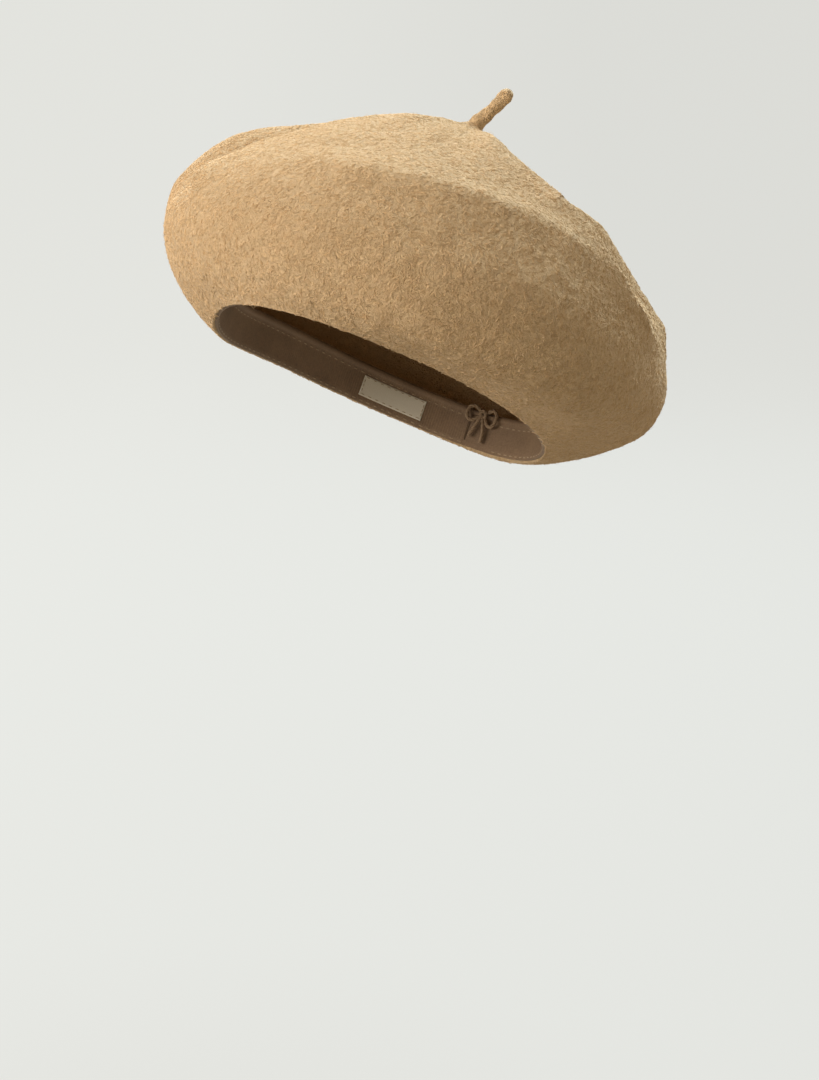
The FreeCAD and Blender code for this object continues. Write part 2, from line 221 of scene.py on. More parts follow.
def smoothFelt(bearing, along):
    cut = felt["edgeAlong"]
    low = lowCurve(bearing, np.clip(along / cut, 0, 1))
    high = highCurve(bearing, np.clip((along - cut) / (1 - cut), 0, 1))
    return np.where((along < cut)[..., None], low, high)


def normalOf(surface, bearing, along):
    turn, step = felt["steps"]
    low, high = np.maximum(along - step, 0), np.minimum(along + step, 1 - step)
    around = surface(bearing + turn, along) - surface(bearing - turn, along)
    return unit(np.cross(around, surface(bearing, high) - surface(bearing, low)))


def onMap(bearing, along):
    # the felt laid flat round its crown, in metres
    reach = felt["meridian"] * (1 - np.asarray(along, float))
    return reach * np.cos(np.radians(bearing)), reach * np.sin(np.radians(bearing))


def lengthsAlong(line):
    steps = np.linalg.norm(np.diff(line, axis=0), axis=1)
    return np.concatenate([[0], np.cumsum(steps)])


def nearestOnLine(line, x, y):
    # distance to the line, whether the point is on its left, and the place along it from 0 to 1
    px, py = onMap(*np.array(line, float).T)
    lengths = lengthsAlong(np.stack([px, py], -1))
    near, leftSide, place = np.full(x.shape, np.inf), np.ones(x.shape, bool), np.zeros(x.shape)
    for i in range(len(px) - 1):
        dx, dy = px[i + 1] - px[i], py[i + 1] - py[i]
        share = np.clip(((x - px[i]) * dx + (y - py[i]) * dy) / (dx * dx + dy * dy), 0, 1)
        ox, oy = x - px[i] - share * dx, y - py[i] - share * dy
        far = np.hypot(ox, oy)
        closer = far < near
        near = np.where(closer, far, near)
        leftSide = np.where(closer, dx * oy - dy * ox > 0, leftSide)
        place = np.where(closer, (lengths[i] + share * np.hypot(dx, dy)) / lengths[-1], place)
    return near, leftSide, place


def creaseHeight(bearing, along, rounding):
    total = np.zeros_like(bearing, dtype=float)
    for line, crest, right, left, depth, reach in felt["creases"]:
        near, leftSide, place = nearestOnLine(line, *onMap(bearing, along))
        height = crest * np.exp(-(np.hypot(near, rounding) - rounding) / np.where(leftSide, left, right))
        height *= np.exp(-(near / felt["creaseLimit"]) ** 2)
        valley = depth * (1 - np.exp(-(near / left) ** 2)) * np.exp(-(near / reach) ** 2)
        height -= np.where(leftSide, valley, 0)
        total += height * np.minimum(felt["creaseFade"] * np.sin(np.pi * place) ** 2, 1)
    return total


def foldHeight(bearing, along, rounding):
    total = np.zeros_like(bearing, dtype=float)
    for start, startAlong, end, endAlong, width, height in felt["folds"]:
        x, y = wrapped(bearing, start), (along - startAlong) * felt["foldScale"]
        dx, dy = end - start, (endAlong - startAlong) * felt["foldScale"]
        share = np.clip((x * dx + y * dy) / (dx * dx + dy * dy), 0, 1)
        total += height * np.exp(-(np.hypot(x - share * dx, y - share * dy) / width) ** 2)
    total += creaseHeight(bearing, along, rounding)
    return total * np.clip((1 - along) / felt["foldFade"], 0, 1)


def foldedFelt(bearing, along, rounding):
    height = foldHeight(bearing, along, rounding)[..., None]
    return smoothFelt(bearing, along) + normalOf(smoothFelt, bearing, along) * height


def feltOutside(bearing, along):
    return foldedFelt(bearing, along, felt["rounding"][0])


def softFelt(bearing, along):
    return foldedFelt(bearing, along, felt["rounding"][1])


def feltInside(bearing, along):
    return softFelt(bearing, along) - normalOf(softFelt, bearing, along) * felt["thickness"]


rimNormal = unit(np.array([-opening["tiltLeft"], -opening["tiltBack"], 1.0]))


def rimOutward(bearing):
    a = np.radians(bearing)
    flat = np.stack([np.cos(a) / opening["halfWidth"], np.sin(a) / opening["halfLength"], 0 * a], -1)
    return unit(flat - rimNormal * (flat @ rimNormal)[..., None])


def sectionPoint(bearing, out, height):
    # out from the felt's cut edge, and up square to the opening
    bearing = np.asarray(bearing, float)
    out, height = np.asarray(out)[..., None], np.asarray(height)[..., None]
    return rimPoint(bearing) + rimOutward(bearing) * out + rimNormal * height


def rimSpeed(bearing):
    # metres of rim per degree of bearing
    return float(np.linalg.norm(rimPoint(np.float64(bearing + 0.5)) - rimPoint(np.float64(bearing - 0.5))))


def gridQuads(rows, columns, closeRows=False, closeColumns=False):
    # faces of a sheet of points, joined round on itself where asked
    i, j = np.meshgrid(np.arange(rows if closeRows else rows - 1),
                       np.arange(columns if closeColumns else columns - 1), indexing='ij')
    n, m = (i + 1) % rows, (j + 1) % columns
    return np.stack([i * columns + j, i * columns + m, n * columns + m, n * columns + j], -1).reshape(-1, 4)


def valueNoise(points, scale, seed):
    # smooth noise between -1 and 1, the same each run
    p = points * scale + seed * 7.31
    cell = np.floor(p).astype(np.int64)
    f = p - cell
    f = f * f * (3 - 2 * f)
    total = np.zeros(len(points))
    for dx in (0, 1):
        for dy in (0, 1):
            for dz in (0, 1):
                c = cell + np.array([dx, dy, dz])
                h = (c[:, 0] * 73856093) ^ (c[:, 1] * 19349663) ^ (c[:, 2] * 83492791) ^ (seed * 2654435)
                h = (h ^ (h >> 13)) * 1274126177 & 0xFFFFFF
                total += np.where([dx, dy, dz], f, 1 - f).prod(1) * (h / 0x7FFFFF - 1)
    return total


def unevenness(grid, layers):
    flat = grid.reshape(-1, 3)
    total = sum(height * valueNoise(flat, scale, seed) for height, scale, seed in layers)
    return total.reshape(grid.shape[:-1])


def gridNormals(grid):
    return unit(np.cross(np.roll(grid, -1, 1) - np.roll(grid, 1, 1), np.gradient(grid, axis=0)))


def meshFromArrays(name, points, quads, tris=None):
    # quick way to make a mesh of many thousand faces
    mesh = bpy.data.meshes.new(name)
    tris = np.zeros((0, 3), int) if tris is None else tris
    loops = np.concatenate([quads.ravel(), tris.ravel()]).astype(np.int32)
    starts = np.concatenate([np.arange(len(quads)) * 4, len(quads) * 4 + np.arange(len(tris)) * 3])
    mesh.vertices.add(len(points))
    mesh.vertices.foreach_set("co", np.asarray(points, np.float32).ravel())
    mesh.loops.add(len(loops))
    mesh.loops.foreach_set("vertex_index", loops)
    mesh.polygons.add(len(starts))
    mesh.polygons.foreach_set("loop_start", starts.astype(np.int32))
    mesh.update(calc_edges=True)
    mesh.polygons.foreach_set("use_smooth", np.ones(len(starts), bool))
    mesh.validate()
    made = bpy.data.objects.new(name, mesh)
    bpy.context.collection.objects.link(made)
    return made


def pointsOf(mesh):
    points = np.zeros(len(mesh.vertices) * 3)
    mesh.vertices.foreach_get("co", points)
    return points.reshape(-1, 3)


def copiesOf(template, frames, name):
    # one object holding a copy of the template's mesh at each frame
    points = pointsOf(template.data)
    shifts = (np.arange(len(frames)) * len(points))[:, None, None]
    sides = [np.array([p.vertices for p in template.data.polygons if len(p.vertices) == n]) for n in (4, 3)]
    quads, tris = ((faces[None] + shifts).reshape(-1, faces.shape[1]) for faces in sides)
    placed = np.concatenate([points @ m[:3, :3].T + m[:3, 3] for m in frames])
    bpy.data.objects.remove(template)
    return meshFromArrays(name, placed, quads, tris)


def frameAt(origin, along, outward):
    x = unit(np.asarray(along, float))
    z = unit(np.asarray(outward, float) - x * np.dot(outward, x))
    m = np.eye(4)
    m[:3, 0], m[:3, 1], m[:3, 2], m[:3, 3] = x, np.cross(z, x), z, origin
    return m


def editOnly(piece):
    bpy.ops.object.select_all(action='DESELECT')
    bpy.context.view_layer.objects.active = piece
    piece.select_set(True)
    bpy.ops.object.mode_set(mode='EDIT')


def turnOutwards(piece):
    editOnly(piece)
    bpy.ops.mesh.select_all(action='SELECT')
    bpy.ops.mesh.remove_doubles(threshold=0.000001)
    bpy.ops.mesh.normals_make_consistent(inside=False)
    bpy.ops.object.mode_set(mode='OBJECT')
    piece.select_set(False)


def dress(piece, material, body, slot, *nodes):
    piece.data.materials.clear()
    piece.data.materials.append(material)
    if body:
        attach(piece, body)
    if nodes:
        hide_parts(*nodes)
    return piece


def tent(points):
    # the crown is drawn up towards the root of the stem
    crown = np.array(felt["crown"])
    away = np.linalg.norm((points - crown)[..., :2], axis=-1)
    rise = felt["tentHeight"] * np.exp(-(away / felt["tentWidth"]) ** felt["tentPower"])
    lifted = points.copy()
    lifted[..., 2] += rise
    return lifted


def makeFeltBody():
    columns = felt["columns"]
    bearings = np.arange(columns) * 360.0 / columns
    cut = felt["edgeAlong"]
    edgeTop, lowStart = felt["edgeRound"]
    low = np.linspace(lowStart, cut, felt["rowsLow"])[:-1]
    high = np.linspace(cut, 1, felt["rowsHigh"])[:-1]
    # rounded cut edge, from the band up round to the underside
    corner = sectionPoint(bearings, np.zeros(columns), np.zeros(columns))
    first = sectionPoint(bearings, np.zeros(columns), np.full(columns, edgeTop))
    under = feltOutside(bearings, np.full(columns, lowStart))
    rows = []
    for t in np.linspace(0, 1, felt["rowsEdge"] + 1)[:-1]:
        rows.append(first * (1 - t) ** 2 + corner * 2 * t * (1 - t) + under * t * t)
    for along in np.concatenate([low, high]):
        rows.append(feltOutside(bearings, np.full(columns, along)))
    outer = np.array(rows)
    start, length = felt["reliefFade"]
    fade = np.clip((np.arange(len(rows)) - start) / length, 0, 1)[:, None]
    outer = tent(outer + gridNormals(outer) * (unevenness(outer, felt["relief"]) * fade)[..., None])
    rowsLow = felt["rowsLowInside"]
    insideLow = np.linspace(felt["insideStart"], cut, rowsLow)[:-1]
    insideHigh = np.linspace(cut, 1, felt["rowsInside"] - rowsLow)[:-1]
    inside = [sectionPoint(bearings, np.zeros(columns), np.full(columns, felt["thickness"]))]
    for along in np.concatenate([insideLow, insideHigh]):
        inside.append(feltInside(bearings, np.full(columns, along)))
    inner = np.array(inside)
    inner = inner + gridNormals(inner) * unevenness(inner, felt["reliefInside"])[..., None]
    # one sheet from the crown inside, down to the rim, round its edge and up the outside
    sheet = np.concatenate([inner[::-1], outer])
    count = len(sheet)
    points = np.concatenate([sheet.reshape(-1, 3), sheet[[0, -1]].mean(1)])
    j = np.arange(columns)
    k = (j + 1) % columns
    low, high = count * columns, count * columns + 1
    last = (count - 1) * columns
    tips = [np.stack([k, j, np.full(columns, low)], -1),
            np.stack([last + j, last + k, np.full(columns, high)], -1)]
    quads = gridQuads(count, columns, closeColumns=True)
    return meshFromArrays("felt_shell", points, quads, np.concatenate(tips))


def newMaterial(name, roughness=0.9, specular=0.25, sheen=0.0, sheenRoughness=0.5, sheenTint=(1, 1, 1)):
    made = bpy.data.materials.new(name)
    made.use_nodes = True
    shader = made.node_tree.nodes["Principled BSDF"]
    shader.inputs["Roughness"].default_value = roughness
    shader.inputs["Specular IOR Level"].default_value = specular
    shader.inputs["Sheen Weight"].default_value = sheen
    shader.inputs["Sheen Roughness"].default_value = sheenRoughness
    shader.inputs["Sheen Tint"].default_value = (*sheenTint, 1)
    return made, made.node_tree, shader


def noiseNode(tree, coords, scale, detail=3, rough=0.55, distortion=0.0):
    node = tree.nodes.new("ShaderNodeTexNoise")
    node.inputs["Scale"].default_value = scale
    node.inputs["Detail"].default_value = detail
    node.inputs["Roughness"].default_value = rough
    node.inputs["Distortion"].default_value = distortion
    tree.links.new(coords, node.inputs["Vector"])
    return node.outputs["Fac"]


def mathNode(tree, operation, *values):
    node = tree.nodes.new("ShaderNodeMath")
    node.operation = operation
    for i, value in enumerate(values):
        if isinstance(value, (int, float)):
            node.inputs[i].default_value = value
        else:
            tree.links.new(value, node.inputs[i])
    return node.outputs[0]


def mixOf(tree, *shares):
    # sum of several values, each with its weight
    total = None
    for value, weight in shares:
        part = mathNode(tree, "MULTIPLY", value, weight)
        total = part if total is None else mathNode(tree, "ADD", total, part)
    return total


def rampNode(tree, factor, stops):
    node = tree.nodes.new("ShaderNodeValToRGB")
    ramp = node.color_ramp
    while len(ramp.elements) < len(stops):
        ramp.elements.new(0.5)
    for element, (place, colour) in zip(ramp.elements, stops):
        element.position = place
        element.color = (*colour, 1)
    tree.links.new(factor, node.inputs["Fac"])
    return node.outputs["Color"]


def paint(tree, shader, tone, *stops):
    tree.links.new(rampNode(tree, tone, stops), shader.inputs["Base Color"])


def emboss(tree, shader, height, strength, depth):
    node = tree.nodes.new("ShaderNodeBump")
    node.inputs["Strength"].default_value = strength
    node.inputs["Distance"].default_value = depth
    tree.links.new(height, node.inputs["Height"])
    tree.links.new(node.outputs["Normal"], shader.inputs["Normal"])


def objectCoords(tree):
    return tree.nodes.new("ShaderNodeTexCoord").outputs["Object"]


feltLook = {
    # gap: painted shade in the hollows between the curled strands; base and light are the wool's own tones
    "gap": (0.34, 0.190, 0.080),
    "deep": (0.53, 0.335, 0.165),
    "base": (0.60, 0.395, 0.205),
    "light": (0.74, 0.53, 0.315),
    # scale, detail, roughness, distortion
    "curl": (420, 3, 0.6, 1.6),
    "fine": (1500, 2, 0.6, 0.8),
    "patch": (60, 6, 0.72, 0.3),
    "bump": (0.9, 0.0008),      # strength, depth
}


def makeFeltMaterial():
    made, tree, shader = newMaterial("camelWoolFelt", 0.95, 0.15, 0.25, 0.45, (0.95, 0.82, 0.66))
    coords = objectCoords(tree)
    curl = noiseNode(tree, coords, *feltLook["curl"])
    fine = noiseNode(tree, coords, *feltLook["fine"])
    patch = noiseNode(tree, coords, *feltLook["patch"])
    # wandering lines of curled wool; the low tone between them, where the bump is low too, is painted shade
    # in the hollows, varied at random by the fine and patch noise
    ridge = mathNode(tree, "ABSOLUTE", mathNode(tree, "SUBTRACT", curl, 0.5))
    strand = mathNode(tree, "SUBTRACT", 1.0, mathNode(tree, "MULTIPLY", ridge, 6.0))
    tone = mixOf(tree, (strand, 0.32), (fine, 0.45), (patch, 0.35))
    # the gap stop at the low end is painted shade in the hollows, where the bump is also low
    paint(tree, shader, tone, (0.12, feltLook["gap"]), (0.5, feltLook["base"]), (0.86, feltLook["light"]))
    emboss(tree, shader, mixOf(tree, (strand, 0.8), (fine, 0.6)), *feltLook["bump"])
    return made


feltMaterial = makeFeltMaterial()
feltShell = dress(makeFeltBody(), feltMaterial, "hat", "wool_felt", "felt_body")
print("felt shell,", len(feltShell.data.polygons), "faces")


# short curled tufts of wool that lie on the felt
nap = {
    "layers": 7,
    "tufts": 9600,              # in each layer
    "rings": 4,
    "taper": (0.5, 1.0, 0.9, 0.4),
    "length": (0.0011, 0.0031),
    "radius": (0.00013, 0.00028),
    "lift": (0.00003, 0.00026),
    "curl": 0.0010,
    "sink": 0.00008,            # how deep a tuft sits in the felt
    "seed": 20,
}

# thin fibres that stand off the felt
flyaways = {
    "tufts": 6000,
    "length": (0.002, 0.005),
    "radius": (0.00003, 0.00005),
    "lift": (0.0004, 0.0014),
    "curl": 0.0012,
    "sink": 0.0001,
    "seed": 40,
}


def outerPatches(shell):
    # corners of the outer faces, from just above the cut edge to the crown
    columns = felt["columns"]
    points = pointsOf(shell.data)
    total = (len(points) - 2) // columns
    grid = points[:total * columns].reshape(total, columns, 3)[felt["rowsInside"] + 2:]
    a, b = grid[:-1], np.roll(grid, -1, 1)[:-1]
    c, d = np.roll(grid, -1, 1)[1:], grid[1:]
    return a.reshape(-1, 3), b.reshape(-1, 3), c.reshape(-1, 3), d.reshape(-1, 3)


def tuftLayer(name, kind, seed, standing=False):
    rng = np.random.default_rng(seed)
    count, curl = kind["tufts"], kind["curl"]
    a, b, c, d = outerPatches(feltShell)
    area = np.linalg.norm(np.cross(c - a, d - b), axis=1)
    pick = rng.choice(len(area), count, p=area / area.sum())
    u, v = rng.random((count, 1)), rng.random((count, 1))
    place = (a[pick] * (1 - u) + b[pick] * u) * (1 - v) + (d[pick] * (1 - u) + c[pick] * u) * v
    up = unit(np.cross(b[pick] - a[pick], d[pick] - a[pick]))
    side = unit(np.cross(up, rng.normal(size=(count, 3))))
    cross = np.cross(up, side)
    size = rng.uniform(*kind["length"], (count, 1))
    thick = rng.uniform(*kind["radius"], (count, 1))
    lift = rng.uniform(*kind["lift"], (count, 1))
    bend = rng.normal(0, curl, (count, 1))
    hook = rng.normal(0, curl * 0.6, (count, 1))
    rings = nap["rings"]
    path = []
    for s in np.linspace(-1, 1, rings):
        height = (lift * (s + 1) / 2 if standing else lift * (1 - s * s)) - kind["sink"]
        path.append(place + side * (size * s / 2) + cross * (bend * s * s + hook * s ** 3) + up * height)
    path = np.array(path)
    way = unit(np.gradient(path, axis=0))
    flank = unit(np.cross(up, way))
    rise = np.cross(way, flank)
    taper = np.array(nap["taper"])[:, None, None] * thick
    sides = []
    for angle in (math.radians(90), math.radians(210), math.radians(330)):
        sides.append(path + (flank * math.cos(angle) + rise * math.sin(angle)) * taper)
    points = np.array(sides).transpose(2, 1, 0, 3).reshape(-1, 3)       # tuft, ring, side
    caps = np.array([(2, 1, 0), (rings * 3 - 3, rings * 3 - 2, rings * 3 - 1)])
    steps = (np.arange(count) * rings * 3)[:, None, None]
    quads = (gridQuads(rings, 3, closeColumns=True)[None] + steps).reshape(-1, 4)
    tris = (caps[None] + steps).reshape(-1, 3)
    return meshFromArrays(name, points, quads, tris)


def makeNapMaterial():
    made, tree, shader = newMaterial("camelWoolNap", 0.9, 0.2, 0.3, 0.4, (0.97, 0.86, 0.70))
    coords = objectCoords(tree)
    island = tree.nodes.new("ShaderNodeNewGeometry").outputs["Random Per Island"]
    tone = mixOf(tree, (island, 0.6), (noiseNode(tree, coords, *feltLook["patch"]), 0.4))
    paint(tree, shader, tone, (0.1, feltLook["deep"]), (0.45, feltLook["base"]), (0.9, feltLook["light"]))
    return made


napMaterial = makeNapMaterial()
for layer in range(nap["layers"]):
    tufts = tuftLayer("felt_nap_" + "abcdefg"[layer], nap, nap["seed"] + layer)
    dress(tufts, napMaterial, "hat", "wool_felt")
fuzz = tuftLayer("felt_fuzz", flyaways, flyaways["seed"], standing=True)
dress(fuzz, napMaterial, "hat", "wool_felt")
print("nap,", nap["layers"] * nap["tufts"] + flyaways["tufts"], "tufts")


# grosgrain tape folded over the cord
bandLook = {
    "columns": 1500,
    "ribPitch": 0.0015,
    "ribHeight": 0.00007,
    "slack": 0.00035,           # how far the tape waves in and out
    # radians per metre of tape, start, share of the slack
    "waves": [(95, 0, 0.5), (41, 1.3, 0.35), (230, 0.4, 0.15)],
    "slit": 0.00004,            # half the space between the two plies
    "colour": (0.25, 0.155, 0.085),
    "shade": (0.13, 0.078, 0.042),
}


def gapHalf(length):
    return length / 2 / rimSpeed(band["gapBearing"])


tunnelRadius = band["cordRadius"] + band["cordClearance"]
tunnelHeight = band["height"] - tunnelRadius - band["ply"]


def tapeOutline():
    # up the outer ply, round the cord, down the inner ply, and back along the inside of the fold
    ply, foot = band["ply"], band["foot"]
    slit = bandLook["slit"]
    middle = -ply - slit
    outside, inside = tunnelRadius + ply, tunnelRadius
    openOut = math.asin((ply + slit) / outside)
    openIn = math.asin(slit / inside)
    neck = tunnelHeight - outside * math.cos(openOut)
    points = [(0.0, h) for h in np.linspace(foot, neck, 7)[:-1]]
    for a in np.linspace(-math.pi / 2 + openOut, 1.5 * math.pi - openOut, 15):
        points.append((middle + outside * math.cos(a), tunnelHeight + outside * math.sin(a)))
    points += [(2 * middle, h) for h in np.linspace(neck, foot, 7)[1:]]
    inner = [(middle - slit, foot), (middle - slit, neck * 0.7)]
    for a in np.linspace(1.5 * math.pi - openIn, -math.pi / 2 + openIn, 11):
        inner.append((middle + inside * math.cos(a), tunnelHeight + inside * math.sin(a)))
    inner += [(middle + slit, neck * 0.7), (middle + slit, foot)]
    return np.array(points), np.array(inner)


def bandWave(length, height):
    # the tape is held at its foot and waves a little more towards its top
    wave = sum(np.sin(length * turns + start) * share for turns, start, share in bandLook["waves"])
    return bandLook["slack"] * wave * np.clip(height / band["height"], 0, 1) ** 1.5


def makeBand():
    half = gapHalf(band["gap"])
    columns = bandLook["columns"]
    bearings = np.linspace(band["gapBearing"] + half, band["gapBearing"] + 360 - half, columns)
    lengths = lengthsAlong(rimPoint(bearings))
    outer, inner = tapeOutline()
    rib = bandLook["ribHeight"] * np.sin(lengths * 2 * math.pi / bandLook["ribPitch"])
    rows = []
    middle = -band["ply"]
    for out, height in np.concatenate([outer, inner]):
        ribbed = len(rows) < len(outer)
        away = np.sign(out - middle) * rib if ribbed else 0 * rib
        rows.append(sectionPoint(bearings, out + away + bandWave(lengths, height), np.full(columns, height)))
    points = np.array(rows).reshape(-1, 3)
    made = meshFromArrays("grosgrain_band", points, gridQuads(len(rows), columns, closeRows=True))
    closeEnds(made)
    turnOutwards(made)
    return made


def closeEnds(piece):
    editOnly(piece)
    bpy.ops.mesh.select_mode(type='EDGE')
    bpy.ops.mesh.select_all(action='DESELECT')
    bpy.ops.mesh.select_non_manifold(extend=False, use_wire=False, use_multi_face=False,
                                     use_non_contiguous=False, use_verts=False)
    bpy.ops.mesh.fill(use_beauty=True)
    bpy.ops.object.mode_set(mode='OBJECT')
    piece.select_set(False)


def makeBandMaterial():
    made, tree, shader = newMaterial("grosgrainTape", 0.72, 0.3, 0.15, 0.35, (0.8, 0.6, 0.42))
    coords = objectCoords(tree)
    grain = noiseNode(tree, coords, 900, 3, 0.6)
    wide = noiseNode(tree, coords, 60, 2, 0.5)
    tone = mixOf(tree, (grain, 0.6), (wide, 0.4))
    paint(tree, shader, tone, (0.25, bandLook["shade"]), (0.7, bandLook["colour"]))
    emboss(tree, shader, grain, 0.35, 0.0002)
    return made


tape = dress(makeBand(), makeBandMaterial(), "hat", "grosgrain", "sweatband")
print("sweatband,", len(tape.data.polygons), "faces")


# sewn threads of the two seams, the label and the stem
thread = {
    "radius": 0.0003,
    "length": 0.0032,
    "pitch": 0.0050,
    "seamHeight": 0.0024,
    "tunnelDrop": 0.0014,
    "thinning": 0.45,           # of the thread towards the ends, where it dips into the cloth
    "dip": 1.7,                 # of its radius
    "colour": (0.46, 0.32, 0.19),
}


def stitchTemplate(length, radius):
    # a thread that dips into the cloth at both ends
    bpy.ops.object.select_all(action='DESELECT')
    bpy.ops.mesh.primitive_cylinder_add(vertices=6, radius=radius, depth=length, end_fill_type='TRIFAN',
                                        rotation=(0, math.pi / 2, 0))
    stitch = bpy.context.active_object
    bpy.ops.object.transform_apply(location=True, rotation=True, scale=True)
    bpy.ops.object.mode_set(mode='EDIT')
    bpy.ops.mesh.select_all(action='DESELECT')
    bpy.ops.mesh.select_mode(type='EDGE')
    bpy.ops.object.mode_set(mode='OBJECT')
    for edge in stitch.data.edges:
        p, q = (stitch.data.vertices[v].co for v in edge.vertices)
        edge.select = abs(p.x - q.x) > length * 0.9
    bpy.ops.object.mode_set(mode='EDIT')
    bpy.ops.mesh.subdivide(number_cuts=4)
    bpy.ops.object.mode_set(mode='OBJECT')
    for vertex in stitch.data.vertices:
        ending = (abs(vertex.co.x) / (length / 2)) ** 3
        vertex.co.y *= 1 - thread["thinning"] * ending
        vertex.co.z = vertex.co.z * (1 - thread["thinning"] * ending) - radius * thread["dip"] * ending
    stitch.select_set(False)
    return stitch


def seamFrames(height):
    half = gapHalf(band["gap"])
    bearing = band["gapBearing"] + half
    last = band["gapBearing"] + 360 - half - thread["pitch"] / rimSpeed(band["gapBearing"])
    frames = []
    rim = 0.0
    while bearing < last:
        speed = rimSpeed(bearing)
        middle = bearing + thread["pitch"] / 2 / speed
        rim += thread["pitch"]
        out = -2 * band["ply"] - thread["radius"] * 0.45 + float(bandWave(rim - thread["pitch"] / 2, height))
        here = sectionPoint(middle, out, height)
        ahead = sectionPoint(middle + 0.3, out, height)
        frames.append(frameAt(here, ahead - here, -rimOutward(np.float64(middle))))
        bearing += thread["pitch"] / speed
    return frames


def makeThreadMaterial():
    made, tree, shader = newMaterial("spunThread", 0.55, 0.35, 0.1, 0.4, (1, 0.9, 0.75))
    coords = objectCoords(tree)
    twist = noiseNode(tree, coords, 2600, 2, 0.5, 0.6)
    dark = tuple(0.55 * v for v in thread["colour"])
    paint(tree, shader, twist, (0.3, dark), (0.65, thread["colour"]))
    emboss(tree, shader, twist, 0.5, 0.00015)
    return made


def stitchRow(name, height):
    return copiesOf(stitchTemplate(thread["length"], thread["radius"]), seamFrames(height), name)


threadMaterial = makeThreadMaterial()
tunnelSeamHeight = tunnelHeight - tunnelRadius - band["ply"] - thread["tunnelDrop"]
dress(stitchRow("band_stitches", thread["seamHeight"]), threadMaterial, "hat", "thread", "sweatband_seam")
dress(stitchRow("tunnel_stitches", tunnelSeamHeight), threadMaterial, "hat", "thread", "tunnel_seam")
print("stitches done")


# adjusting cord and its bow
cord = {
    "radius": 0.0012,
    "strands": 3,
    "twist": 0.0085,            # length of one full turn of the strands
    "colour": (0.33, 0.215, 0.125),
    "knotRadius": 0.0032,
}


def smoothRoute(points):
    # a NURBS line through the bends of the route, read back as a polyline
    curve = bpy.data.curves.new("route", 'CURVE')
    curve.dimensions = '3D'
    spline = curve.splines.new('NURBS')
    spline.points.add(len(points) - 1)
    for target, p in zip(spline.points, points):
        target.co = (*p, 1)
    spline.order_u = 3
    spline.use_endpoint_u = True
    spline.resolution_u = 12
    holder = bpy.data.objects.new("route", curve)
    bpy.context.collection.objects.link(holder)
    bpy.context.view_layer.update()
    mesh = bpy.data.meshes.new_from_object(holder.evaluated_get(bpy.context.evaluated_depsgraph_get()))
    line = np.array([v.co for v in mesh.vertices])
    bpy.data.objects.remove(holder)
    bpy.data.meshes.remove(mesh)
    return line


def evenly(line, step):
    lengths = lengthsAlong(line)
    count = max(int(lengths[-1] / step), 4)
    at = np.linspace(0, lengths[-1], count)
    return np.stack([np.interp(at, lengths, line[:, k]) for k in range(3)], -1), at


def twistedCord(name, line, radius, step=0.0006, sides=7):
    line, at = evenly(line, step)
    way = unit(np.gradient(line, axis=0))
    flank = np.zeros_like(line)
    flank[0] = unit(np.cross(way[0], [0.31, 0.52, 0.79]))
    for i in range(1, len(line)):
        flank[i] = unit(flank[i - 1] - way[i] * np.dot(flank[i - 1], way[i]))
    rise = np.cross(way, flank)
    points, quads, tris = [], [], []
    thick = radius * 0.56
    for k in range(cord["strands"]):
        turn = (2 * math.pi * at / cord["twist"] + 2 * math.pi * k / cord["strands"])[:, None]
        heart = line + (flank * np.cos(turn) + rise * np.sin(turn)) * (radius - thick)
        start = sum(len(p) for p in points)
        ring = []
        for a in np.arange(sides) * 2 * math.pi / sides:
            ring.append(heart + (flank * math.cos(a) + rise * math.sin(a)) * thick)
        ring = np.array(ring).transpose(1, 0, 2)
        taper = np.clip(np.minimum(at, at[-1] - at) / (thick * 1.2), 0.35, 1)[:, None, None]
        ring = heart[:, None] + (ring - heart[:, None]) * taper
        points.append(ring.reshape(-1, 3))
        quads.append(start + gridQuads(len(line), sides, closeColumns=True))
        tip = [(start, start + j + 1, start + j) for j in range(1, sides - 1)]
        end = start + (len(line) - 1) * sides
        tip += [(end, end + j, end + j + 1) for j in range(1, sides - 1)]
        tris.append(np.array(tip))
    return meshFromArrays(name, np.concatenate(points), np.concatenate(quads), np.concatenate(tris))


def gapPoint(across, out, height):
    return sectionPoint(band["gapBearing"] + across / rimSpeed(band["gapBearing"]), out, height)


def makeCordMaterial():
    made, tree, shader = newMaterial("twistedCotton", 0.8, 0.25, 0.2, 0.4, (0.9, 0.7, 0.5))
    coords = objectCoords(tree)
    yarn = noiseNode(tree, coords, 2200, 3, 0.6, 0.5)
    dark = tuple(0.5 * v for v in cord["colour"])
    paint(tree, shader, yarn, (0.3, dark), (0.68, cord["colour"]))
    emboss(tree, shader, yarn, 0.5, 0.0002)
    return made


